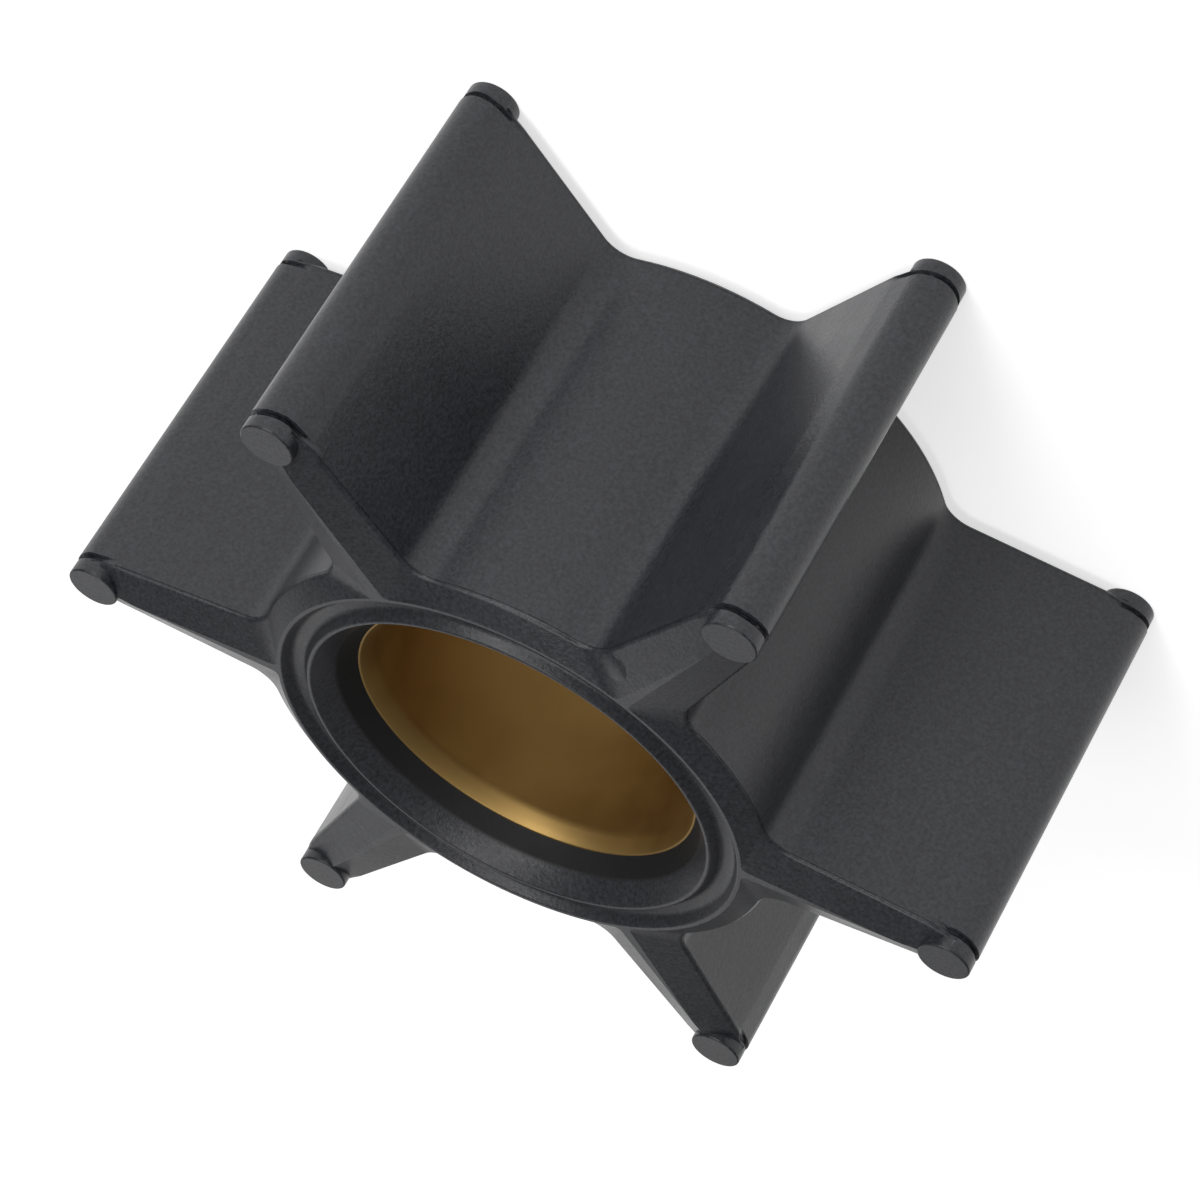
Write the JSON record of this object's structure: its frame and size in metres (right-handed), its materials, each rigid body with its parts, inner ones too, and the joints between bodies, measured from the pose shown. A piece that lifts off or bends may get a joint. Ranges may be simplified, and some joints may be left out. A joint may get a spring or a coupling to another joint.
{
  "type": "pump impeller",
  "caption": "Flexible rubber pump impeller: straight vanes with rounded tip beads around a hub moulded on a keyed brass sleeve.",
  "frame": {"origin": "on the bore's axis, in the plane of the end that the impeller stands on", "axes": "+Z along the bore toward the upper end, +X through the middle of one vane, +Y midway between two vanes, through the keyway"},
  "size_m": [0.0506, 0.0442, 0.0228],
  "materials": {
    "rubber": "satin moulded",
    "brass": "satin turned"
  },
  "bodies": {
    "root": {"rubber_body": "rubber", "brass_sleeve": "brass"}
  },
  "joints": []
}
